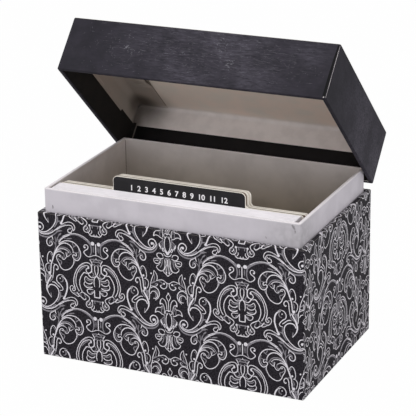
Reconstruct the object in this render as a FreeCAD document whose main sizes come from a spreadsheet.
"""Hinged-lid index card box: a wrapped board base, a paper-covered neck that stands above its rim,
a wrapped lid on a paper hinge strip, and the cards and tabbed dividers that stand inside.

Frame: +X along the front, +Y to the back, +Z up, origin at the centre of the underside.
The lid is built shut, round the base, and then turned open about the hinge line.
"""
import FreeCAD, Part
import os
import Sketcher
from FreeCAD import Placement, Rotation, Vector

os.makedirs("parts", exist_ok=True)
doc = FreeCAD.newDocument("card_box")

# ---------------------------------------------------------------- sizes, in millimetres and degrees

SIZES = [
    ("card_width", 152.4, "long edge of an index card"),
    ("card_height", 101.6, "short edge of an index card, standing up"),
    ("card_paper", 0.29, "thickness of one card"),
    ("card_count", 40, "cards in the stack"),
    ("card_side_play", 1.4, "room at each end of a card inside the neck"),
    ("card_front_play", 0.1, "room between the neck and the first card"),
    ("card_shift", -0.3, "the stack stands this far off centre"),
    ("card_drop", 0.65, "neck rim above the top of a card"),
    ("neck_inner_depth", 99.0, "clear depth inside the neck"),
    ("neck_board", 1.6, "board of the neck"),
    ("neck_paper", 0.2, "grey paper on both faces of the neck"),
    ("neck_play", 0.25, "room between the neck and the hinge strip behind it"),
    ("neck_rise", 14.1, "neck rim above the base rim"),
    ("base_board", 2.5, "board of the four base walls"),
    ("floor_board", 1.65, "board of the base floor"),
    ("wrap_paper", 0.2, "printed paper on the base, black paper on the lid"),
    ("sheet_paper", 0.2, "sheet under the floor"),
    ("sheet_margin", 3.0, "sheet edge in from the base edge"),
    ("lining_paper", 0.2, "grey lining of the floor and of the lid"),
    ("base_turn_in", 15.0, "printed paper turned in over the rim and under the floor"),
    ("corner_round", 1.2, "outer radius of the upright corners"),
    ("stay_paper", 0.12, "gummed tape inside the corners"),
    ("stay_leg", 10.0, "width of the tape on each wall"),
    ("stay_gap", 1.0, "tape ends short of the turned-in paper"),
    ("lid_board", 1.9, "board of the lid"),
    ("lid_gap", 0.4, "lid rim above the base rim when shut"),
    ("lid_swing_play", 0.3, "room that the lid rim keeps as it swings past the neck"),
    ("lid_turn_in", 17.0, "black paper turned in at the front and sides"),
    ("lid_corner_turn_in", 19.4, "the same, beside the back corners"),
    ("lid_corner_run", 20.0, "length of that taller stretch"),
    ("head_room", 10.45, "room above the tabs when shut"),
    ("hinge_behind", 4.0, "hinge line behind the base back"),
    ("hinge_below", 0.7, "hinge line below the base rim"),
    ("lid_open_angle", 43.0, "the lid stands open by this much"),
    ("strip_paper", 0.25, "black hinge strip"),
    ("strip_end_gap", 3.1, "strip ends short of the lid side"),
    ("strip_lid_height", 17.5, "strip glued up the lid back"),
    ("strip_base_depth", 16.0, "strip glued down inside the base back"),
    ("strip_rise", 2.5, "strip standing free above the base rim"),
    ("divider_paper", 0.4, "thickness of a divider"),
    ("divider_pitch", 2.1, "from one divider to the next"),
    ("divider_play", 0.15, "room between the stack and the first tab label"),
    ("front_divider_shift", -0.3, "front divider off centre"),
    ("middle_divider_shift", 0.5, "middle divider off centre"),
    ("rear_divider_shift", 1.2, "rear divider off centre"),
    ("tab_width", 83.0, "width of a divider's tab"),
    ("tab_height", 8.6, "tab above the divider's shoulders"),
    ("tab_top_round", 3.0, "radius of a tab's top corners"),
    ("tab_foot_round", 2.2, "radius where a tab meets the shoulders"),
    ("shoulder_round", 1.6, "radius of a divider's shoulders"),
    ("label_paper", 0.15, "black label on the front tab"),
    ("label_margin", 0.35, "cream edge left round the label"),
    ("label_drop", 3.0, "label below the shoulders"),
]

# ---------------------------------------------------------------- fits, worked out from the sizes

FITS = [
    ("neck_wall", "sizes.neck_board + 2 * sizes.neck_paper"),
    ("neck_inner_width", "sizes.card_width + 2 * sizes.card_side_play"),
    ("neck_width", "neck_inner_width + 2 * neck_wall"),
    ("neck_depth", "sizes.neck_inner_depth + 2 * neck_wall"),
    ("base_skin", "sizes.wrap_paper + sizes.base_board"),
    ("base_wall", "base_skin + sizes.wrap_paper"),
    ("neck_inset", "base_wall + sizes.strip_paper + sizes.neck_play"),
    ("base_width", "neck_width + 2 * neck_inset"),
    ("base_depth", "neck_depth + 2 * neck_inset"),
    ("board_bottom", "sizes.sheet_paper + sizes.wrap_paper"),
    ("lining_bottom", "board_bottom + sizes.floor_board"),
    ("floor_top", "lining_bottom + sizes.lining_paper"),
    ("card_top", "floor_top + sizes.card_height"),
    ("neck_top", "card_top + sizes.card_drop"),
    ("base_top", "neck_top - sizes.neck_rise"),
    ("hinge_y", "base_depth / 2 + sizes.hinge_behind"),
    ("hinge_z", "base_top - sizes.hinge_below"),
    ("swing_reach", "neck_depth / 2 + hinge_y"),
    ("swing_rise", "neck_top - hinge_z"),
    ("lid_play", "sqrt(swing_reach ^ 2 + swing_rise ^ 2) - swing_reach + sizes.lid_swing_play"),
    ("lid_core", "sizes.wrap_paper + sizes.lid_board"),
    ("lid_lined", "lid_core + sizes.lining_paper"),
    ("lid_wall", "lid_lined + sizes.wrap_paper"),
    ("lid_width", "neck_width + 2 * lid_play + 2 * lid_wall"),
    ("lid_depth", "neck_depth + 2 * lid_play + 2 * lid_wall"),
    ("lid_bottom", "base_top + sizes.lid_gap"),
    ("lid_ceiling", "card_top + sizes.tab_height + sizes.head_room"),
    ("lid_top", "lid_ceiling + lid_lined"),
    ("strip_width", "lid_width - 2 * lid_wall - 2 * sizes.strip_end_gap"),
    ("cards_front", "sizes.card_front_play - sizes.neck_inner_depth / 2"),
    ("cards_back", "cards_front + sizes.card_count * sizes.card_paper"),
    ("label_front", "cards_back + sizes.divider_play"),
    ("dividers_front", "label_front + sizes.label_paper"),
]


def make_sheet(name, rows):
    """A sheet with one named cell per row."""
    sheet = doc.addObject("Spreadsheet::Sheet", name)
    for row, (alias, content, note) in enumerate(rows, start=1):
        sheet.set(f"A{row}", alias)
        sheet.set(f"B{row}", content)
        sheet.set(f"C{row}", note)
        sheet.setAlias(f"B{row}", alias)
    doc.recompute()
    return sheet


sizes = make_sheet("sizes", [(alias, str(value), note) for alias, value, note in SIZES])
fits = make_sheet("fits", [(alias, "=" + formula, "") for alias, formula in FITS])

# ---------------------------------------------------------------- ways of making a shape

NODES = {}


def number(text):
    """What an expression comes to now."""
    return float(sizes.evalExpression(text))


def bind(thing, **expressions):
    """Ties properties to sheet cells. A double underscore in a name stands for a dot."""
    for path, text in expressions.items():
        thing.setExpression(path.replace("__", "."), text)
    return thing


def slab(name, size, at):
    """A square-cornered block: its three sizes, and its corner with the lowest coordinates."""
    block = doc.addObject("Part::Box", name)
    bind(block, Length=size[0], Width=size[1], Height=size[2])
    bind(block, Placement__Base__x=at[0], Placement__Base__y=at[1], Placement__Base__z=at[2])
    return block


def centred(name, width, depth, low, high):
    """A block centred on the upright axis, from the height low to the height high."""
    return slab(name, (width, depth, f"{high} - ({low})"), (f"-({width}) / 2", f"-({depth}) / 2", low))


def sketch_outline(body, name, role, corners):
    """A closed outline of straight lines on one of a body's own planes, each corner held to its cells."""
    sketch = body.newObject("Sketcher::SketchObject", name)
    plane = next(feature for feature in body.Origin.OriginFeatures if feature.Role == role)
    sketch.AttachmentSupport = (plane, [""])
    sketch.MapMode = "FlatFace"
    spots = [Vector(number(x), number(y), 0) for x, y in corners]
    for index, spot in enumerate(spots):
        following = spots[(index + 1) % len(spots)]
        sketch.addGeometry(Part.LineSegment(spot, following), False)
    for index, (x, y) in enumerate(corners):
        following = (index + 1) % len(corners)
        sketch.addConstraint(Sketcher.Constraint("Coincident", index, 2, following, 1))
        across = sketch.addConstraint(Sketcher.Constraint("DistanceX", -1, 1, index, 1, spots[index].x))
        sketch.setExpression(f"Constraints[{across}]", x)
        along = sketch.addConstraint(Sketcher.Constraint("DistanceY", -1, 1, index, 1, spots[index].y))
        sketch.setExpression(f"Constraints[{along}]", y)
    return sketch


def pad(body, name, sketch, length, backwards=False):
    solid = body.newObject("PartDesign::Pad", name)
    solid.Profile = sketch
    solid.Reversed = backwards
    bind(solid, Length=length)
    doc.recompute()
    return solid


def fillet(body, name, base, radius, wanted):
    """Rounds the edges of base that the test picks by their direction and middle point."""
    picked = []
    for index, edge in enumerate(base.Shape.Edges, start=1):
        if wanted(edge.tangentAt(edge.FirstParameter), edge.CenterOfMass):
            picked.append(f"Edge{index}")
    rounding = body.newObject("PartDesign::Fillet", name)
    rounding.Base = (base, picked)
    bind(rounding, Radius=radius)
    doc.recompute()
    return rounding


def rounded(name, width, depth, low, high, radius):
    """A centred block whose four upright corners are rounded."""
    body = doc.addObject("PartDesign::Body", name)
    left, right = f"-({width}) / 2", f"({width}) / 2"
    front, back = f"-({depth}) / 2", f"({depth}) / 2"
    corners = [(left, front), (right, front), (right, back), (left, back)]
    outline = sketch_outline(body, name + "_outline", "XY_Plane", corners)
    block = pad(body, name + "_block", outline, f"{high} - ({low})")
    fillet(body, name + "_corners", block, radius, lambda direction, middle: abs(direction.z) > 0.99)
    bind(body, Placement__Base__z=low)
    return body


def cut(name, base, tool):
    piece = doc.addObject("Part::Cut", name)
    piece.Base = base
    piece.Tool = tool
    return piece


def common(name, one, other):
    piece = doc.addObject("Part::Common", name)
    piece.Base = one
    piece.Tool = other
    return piece


def joined(name, pieces):
    piece = doc.addObject("Part::MultiFuse", name)
    piece.Shapes = pieces
    return piece


def group(name, pieces):
    """Separate solids kept together as one sub-part."""
    piece = doc.addObject("Part::Compound", name)
    piece.Links = pieces
    return piece


def node(piece, label):
    """Marks a finished sub-part. Its label names its file."""
    piece.Label = label
    NODES[label] = piece
    return piece


def lid_node(piece, label):
    """A sub-part of the lid, turned open about the hinge line from the shut place where it was made."""
    opened = group(piece.Name + "_opened", [piece])
    opened.Placement = Placement(Vector(0, 0, 0), Rotation(Vector(-1, 0, 0), sizes.lid_open_angle))
    turn = "sizes.lid_open_angle * 1 deg"
    bind(
        opened,
        Placement__Rotation__Angle="sizes.lid_open_angle",
        Placement__Base__y=f"fits.hinge_y * (1 - cos({turn})) - fits.hinge_z * sin({turn})",
        Placement__Base__z=f"fits.hinge_z * (1 - cos({turn})) + fits.hinge_y * sin({turn})",
    )
    return node(opened, label)


def four_walls(prefix, outline, width, depth, board, low, high, finish):
    """Front and back boards over the full width, and side boards between them, cut to one outline."""
    height = f"{high} - ({low})"
    left, right = f"-({width}) / 2", f"({width}) / 2"
    front, back = f"-({depth}) / 2", f"({depth}) / 2"
    inner = f"{depth} - 2 * ({board})"
    places = {
        "front": ((width, board, height), (left, front, low)),
        "back": ((width, board, height), (left, f"{back} - ({board})", low)),
        "left": ((board, inner, height), (left, f"{front} + {board}", low)),
        "right": ((board, inner, height), (f"{right} - ({board})", f"{front} + {board}", low)),
    }
    for side, (size, at) in places.items():
        blank = slab(f"{prefix}_{side}_blank", size, at)
        finish(common(f"{prefix}_{side}", outline(side), blank), f"{prefix}_{side}_board")


def corner_tapes(prefix, width, depth, low, high):
    """Four strips of tape folded into the inner corners of four walls."""
    outer = centred(f"{prefix}_tape_outer", width, depth, low, high)
    thinner = "2 * sizes.stay_paper"
    inner = centred(f"{prefix}_tape_inner", f"{width} - {thinner}", f"{depth} - {thinner}", low, high)
    ring = cut(f"{prefix}_tape_ring", outer, inner)
    leg = "sizes.stay_leg"
    height = f"{high} - ({low})"
    ends = []
    for side, x in (("left", f"-({width}) / 2"), ("right", f"({width}) / 2 - {leg}")):
        for end, y in (("front", f"-({depth}) / 2"), ("back", f"({depth}) / 2 - {leg}")):
            ends.append(slab(f"{prefix}_tape_{side}_{end}", (leg, leg, height), (x, y, low)))
    return common(f"{prefix}_tapes", ring, joined(f"{prefix}_tape_ends", ends))


# ---------------------------------------------------------------- base


def make_base():
    paper = "sizes.wrap_paper"
    width, depth = "fits.base_width", "fits.base_depth"
    top = "fits.base_top"
    core_width, core_depth = f"{width} - 2 * {paper}", f"{depth} - 2 * {paper}"
    core_round = f"sizes.corner_round - {paper}"
    room_width = f"{width} - 2 * fits.base_skin"
    room_depth = f"{depth} - 2 * fits.base_skin"
    mouth_width = f"{width} - 2 * fits.base_wall"
    mouth_depth = f"{depth} - 2 * fits.base_wall"
    rim = f"{top} - {paper}"

    margin = "2 * sizes.sheet_margin"
    sheet = centred("bottom_sheet", f"{width} - {margin}", f"{depth} - {margin}", "0", "sizes.sheet_paper")
    node(sheet, "base_bottom_sheet")
    floor = centred("floor", room_width, room_depth, "fits.board_bottom", "fits.lining_bottom")
    node(floor, "base_floor_board")
    lining = centred("floor_lining_blank", room_width, room_depth, "fits.lining_bottom", "fits.floor_top")
    node(lining, "base_floor_lining")

    def outline(side):
        return rounded(f"base_{side}_outline", core_width, core_depth, "fits.board_bottom", rim, core_round)

    four_walls("base", outline, core_width, core_depth, "sizes.base_board", "fits.board_bottom", rim, node)
    tape_top = f"{top} - sizes.base_turn_in - sizes.stay_gap"
    tapes = corner_tapes("base", room_width, room_depth, "fits.floor_top", tape_top)
    node(tapes, "base_corner_stays")

    skin = rounded("base_skin", width, depth, "sizes.sheet_paper", top, "sizes.corner_round")
    core = rounded("base_core", core_width, core_depth, "fits.board_bottom", rim, core_round)
    hollow = cut("base_skin_hollow", skin, core)
    turn = "2 * sizes.base_turn_in"
    under = centred("base_under", f"{width} - {turn}", f"{depth} - {turn}", "0", "fits.board_bottom")
    mouth = centred("base_mouth", mouth_width, mouth_depth, f"{top} - 2 * {paper}", f"{top} + {paper}")
    open_skin = cut("base_skin_open", hollow, joined("base_openings", [under, mouth]))
    turn_low = f"{top} - sizes.base_turn_in"
    band_outer = centred("base_turn_outer", room_width, room_depth, turn_low, top)
    band_inner = centred("base_turn_inner", mouth_width, mouth_depth, turn_low, top)
    turned = cut("base_turned_in", band_outer, band_inner)
    node(joined("base_paper", [open_skin, turned]), "base_wrap")


# ---------------------------------------------------------------- neck


def make_neck():
    paper = "sizes.neck_paper"
    width, depth = "fits.neck_width", "fits.neck_depth"
    low, top = "fits.floor_top", "fits.neck_top"
    core_width, core_depth = f"{width} - 2 * {paper}", f"{depth} - 2 * {paper}"
    core_round = f"sizes.corner_round - {paper}"
    rim = f"{top} - {paper}"

    def outline(side):
        return rounded(f"neck_{side}_outline", core_width, core_depth, low, rim, core_round)

    four_walls("neck", outline, core_width, core_depth, "sizes.neck_board", low, rim, node)

    skin = rounded("neck_skin", width, depth, low, top, "sizes.corner_round")
    inside = centred("neck_inside", "fits.neck_inner_width", "sizes.neck_inner_depth", low, top)
    tube = cut("neck_tube", skin, inside)
    core = rounded("neck_core", core_width, core_depth, low, rim, core_round)
    boards = "2 * sizes.neck_board"
    core_inside = centred("neck_core_inside", f"{core_width} - {boards}", f"{core_depth} - {boards}", low, rim)
    node(cut("neck_paper_cover", tube, cut("neck_slot", core, core_inside)), "neck_wrap")


# ---------------------------------------------------------------- lid, made shut


def make_lid():
    paper = "sizes.wrap_paper"
    width, depth = "fits.lid_width", "fits.lid_depth"
    low, top = "fits.lid_bottom", "fits.lid_top"
    core_width, core_depth = f"{width} - 2 * {paper}", f"{depth} - 2 * {paper}"
    core_round = f"sizes.corner_round - {paper}"
    core_low, core_top = f"{low} + {paper}", f"{top} - {paper}"
    board_low = f"{core_top} - sizes.lid_board"
    room_width, room_depth = f"{width} - 2 * fits.lid_core", f"{depth} - 2 * fits.lid_core"
    lined_width, lined_depth = f"{width} - 2 * fits.lid_lined", f"{depth} - 2 * fits.lid_lined"
    mouth_width = f"{width} - 2 * fits.lid_wall"

    top_board = rounded("lid_top", core_width, core_depth, board_low, core_top, core_round)
    lid_node(top_board, "lid_top_board")

    def outline(side):
        return rounded(f"lid_{side}_outline", core_width, core_depth, core_low, board_low, core_round)

    four_walls("lid", outline, core_width, core_depth, "sizes.lid_board", core_low, board_low, lid_node)
    tape_low = f"{low} + sizes.lid_corner_turn_in + sizes.stay_gap"
    tapes = corner_tapes("lid", room_width, room_depth, tape_low, board_low)
    lid_node(tapes, "lid_corner_stays")

    lining_outer = centred("lid_lining_outer", room_width, room_depth, core_low, board_low)
    lining_inner = centred("lid_lining_inner", lined_width, lined_depth, core_low, "fits.lid_ceiling")
    lining = cut("lid_lining_shell", lining_outer, lining_inner)
    lid_node(cut("lid_lining_sheet", lining, tapes), "lid_lining")

    skin = rounded("lid_skin", width, depth, low, top, "sizes.corner_round")
    core = rounded("lid_core_block", core_width, core_depth, core_low, core_top, core_round)
    hollow = cut("lid_skin_hollow", skin, core)
    mouth_front = f"fits.lid_wall - {depth} / 2"
    mouth_depth = f"{depth} - fits.lid_wall - fits.lid_lined"
    mouth_size = (mouth_width, mouth_depth, f"3 * {paper}")
    mouth_at = (f"-({mouth_width}) / 2", mouth_front, f"{low} - {paper}")
    open_skin = cut("lid_skin_open", hollow, slab("lid_mouth", mouth_size, mouth_at))
    front = f"fits.lid_lined - {depth} / 2"
    side_depth = f"{depth} - 2 * fits.lid_lined"
    corner_front = f"{depth} / 2 - fits.lid_lined - sizes.lid_corner_run"
    front_strip = slab(
        "lid_turn_front",
        (lined_width, paper, "sizes.lid_turn_in"),
        (f"-({lined_width}) / 2", front, low),
    )
    strips = [front_strip]
    for side, x in (("left", f"-({lined_width}) / 2"), ("right", f"({lined_width}) / 2 - {paper}")):
        run = slab(f"lid_turn_{side}", (paper, side_depth, "sizes.lid_turn_in"), (x, front, low))
        tall_size = (paper, "sizes.lid_corner_run", "sizes.lid_corner_turn_in")
        tall = slab(f"lid_turn_tall_{side}", tall_size, (x, corner_front, low))
        strips += [run, tall]
    lid_node(joined("lid_paper", [open_skin] + strips), "lid_wrap")


# ---------------------------------------------------------------- hinge strip


def make_hinge_strip():
    half = "fits.strip_width / 2"
    base_y = "fits.base_depth / 2 - fits.base_wall - sizes.strip_paper"
    base_height = "sizes.strip_base_depth + sizes.strip_rise"
    base_size = ("fits.strip_width", "sizes.strip_paper", base_height)
    base_leaf = slab("strip_base", base_size, (f"-{half}", base_y, "fits.base_top - sizes.strip_base_depth"))
    node(base_leaf, "hinge_strip_base_leaf")
    lid_y = "fits.lid_depth / 2 - fits.lid_lined - sizes.strip_paper"
    lid_size = ("fits.strip_width", "sizes.strip_paper", "sizes.strip_lid_height")
    lid_leaf = slab("strip_lid", lid_size, (f"-{half}", lid_y, "fits.lid_bottom"))
    lid_node(lid_leaf, "hinge_strip_lid_leaf")


# ---------------------------------------------------------------- cards and dividers


def make_cards():
    left = "sizes.card_shift - sizes.card_width / 2"
    size = ("sizes.card_width", "sizes.card_paper", "sizes.card_height")
    cards = []
    for index in range(int(sizes.card_count)):
        y = f"fits.cards_front + {index} * sizes.card_paper"
        cards.append(slab(f"card_{index + 1:02d}", size, (left, y, "fits.floor_top")))
    node(group("card_stack", cards), "index_cards")


def make_divider(place, order, shift):
    """A card with a raised tab, standing on its long edge."""
    half, tab = "sizes.card_width / 2", "sizes.tab_width / 2"
    shoulder = "sizes.card_height"
    peak = "sizes.card_height + sizes.tab_height"
    corners = [
        (f"-{half}", "0"),
        (half, "0"),
        (half, shoulder),
        (tab, shoulder),
        (tab, peak),
        (f"-{tab}", peak),
        (f"-{tab}", shoulder),
        (f"-{half}", shoulder),
    ]
    body = doc.addObject("PartDesign::Body", f"divider_{place}_body")
    outline = sketch_outline(body, f"divider_{place}_outline", "XZ_Plane", corners)
    card = pad(body, f"divider_{place}_card", outline, "sizes.divider_paper", backwards=True)
    tab_end, edge_end = number(tab), number(half)
    foot, crown = number(shoulder), number(peak)

    def at(x, z):
        def test(direction, middle):
            return abs(direction.y) > 0.99 and abs(abs(middle.x) - x) < 0.01 and abs(middle.z - z) < 0.01

        return test

    crowned = fillet(body, f"divider_{place}_crown", card, "sizes.tab_top_round", at(tab_end, crown))
    footed = fillet(body, f"divider_{place}_foot", crowned, "sizes.tab_foot_round", at(tab_end, foot))
    fillet(body, f"divider_{place}_shoulder", footed, "sizes.shoulder_round", at(edge_end, foot))
    bind(
        body,
        Placement__Base__x=f"sizes.{shift}",
        Placement__Base__y=f"fits.dividers_front + {order} * sizes.divider_pitch",
        Placement__Base__z="fits.floor_top",
    )
    node(body, f"divider_{place}")


def make_label():
    """The black label glued to the face of the front tab."""
    half = "sizes.tab_width / 2 - sizes.label_margin"
    low = "sizes.card_height - sizes.label_drop"
    high = "sizes.card_height + sizes.tab_height - sizes.label_margin"
    corners = [(f"-({half})", low), (half, low), (half, high), (f"-({half})", high)]
    body = doc.addObject("PartDesign::Body", "label_body")
    outline = sketch_outline(body, "label_outline", "XZ_Plane", corners)
    paper = pad(body, "label_paper_block", outline, "sizes.label_paper", backwards=True)
    crown = number(high)
    fillet(
        body,
        "label_crown",
        paper,
        "sizes.tab_top_round - sizes.label_margin",
        lambda direction, middle: abs(direction.y) > 0.99 and abs(middle.z - crown) < 0.01,
    )
    bind(
        body,
        Placement__Base__x="sizes.front_divider_shift",
        Placement__Base__y="fits.label_front",
        Placement__Base__z="fits.floor_top",
    )
    node(body, "tab_label")


# ---------------------------------------------------------------- build, test and write

make_base()
make_neck()
make_lid()
make_hinge_strip()
make_cards()
make_divider("front", 0, "front_divider_shift")
make_divider("middle", 1, "middle_divider_shift")
make_divider("rear", 2, "rear_divider_shift")
make_label()
doc.recompute()

for thing in doc.Objects:
    if "Invalid" in thing.State or "Error" in thing.State:
        raise RuntimeError(f"{thing.Name} could not be worked out: {thing.State}")

for label, piece in NODES.items():
    shape = piece.Shape
    if shape.isNull() or not shape.isValid() or not shape.Solids:
        raise RuntimeError(f"{label} has no valid solid")
    shape.exportStep(f"parts/{label}.step")
    print(f"{label}: {len(shape.Solids)} solid(s), {shape.Volume:.1f} mm3")
